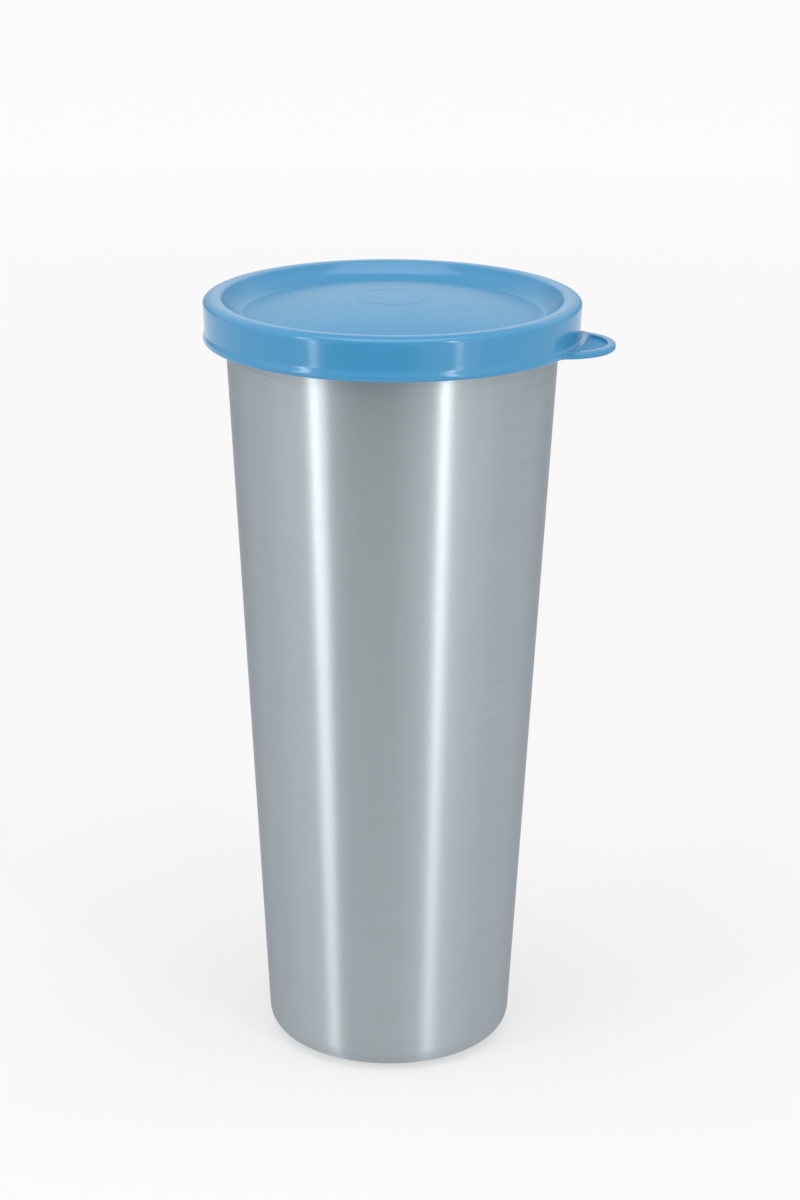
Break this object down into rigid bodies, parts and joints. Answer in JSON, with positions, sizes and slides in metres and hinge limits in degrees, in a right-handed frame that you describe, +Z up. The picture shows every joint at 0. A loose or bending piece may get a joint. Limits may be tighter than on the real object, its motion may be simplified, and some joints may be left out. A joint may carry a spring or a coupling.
{
  "type": "lidded drinking tumbler",
  "caption": "Tall tapered single-wall steel tumbler with a rolled rim, closed by a press-on plastic lid with a grooved, domed top and a pull tab.",
  "frame": {"origin": "centre of the underside of the base, on the tumbler's axis", "axes": "+Z up along the tumbler's axis, towards the mouth; +X from the axis towards the lid's pull tab"},
  "size_m": [0.092, 0.084, 0.1753],
  "materials": {
    "steel": "satin, brushed around the axis",
    "lid_plastic": "smooth semi-gloss"
  },
  "bodies": {
    "cup": {"tumbler": "steel"},
    "lid": {"lid": "lid_plastic"},
    "tab": {"pull_tab": "lid_plastic"}
  },
  "joints": [
    {"name": "lid_lift", "type": "slide", "parent": "cup", "child": "lid", "axis": [0, 0, 1], "range_m": [0, 0.06]},
    {"name": "tab_flex", "type": "hinge", "parent": "lid", "child": "tab", "pos_m": [0.04295, 0, 0.16645], "axis": [0, -1, 0], "range_deg": [-15, 45], "stiffness_Nm_per_rad": 0.02}
  ]
}
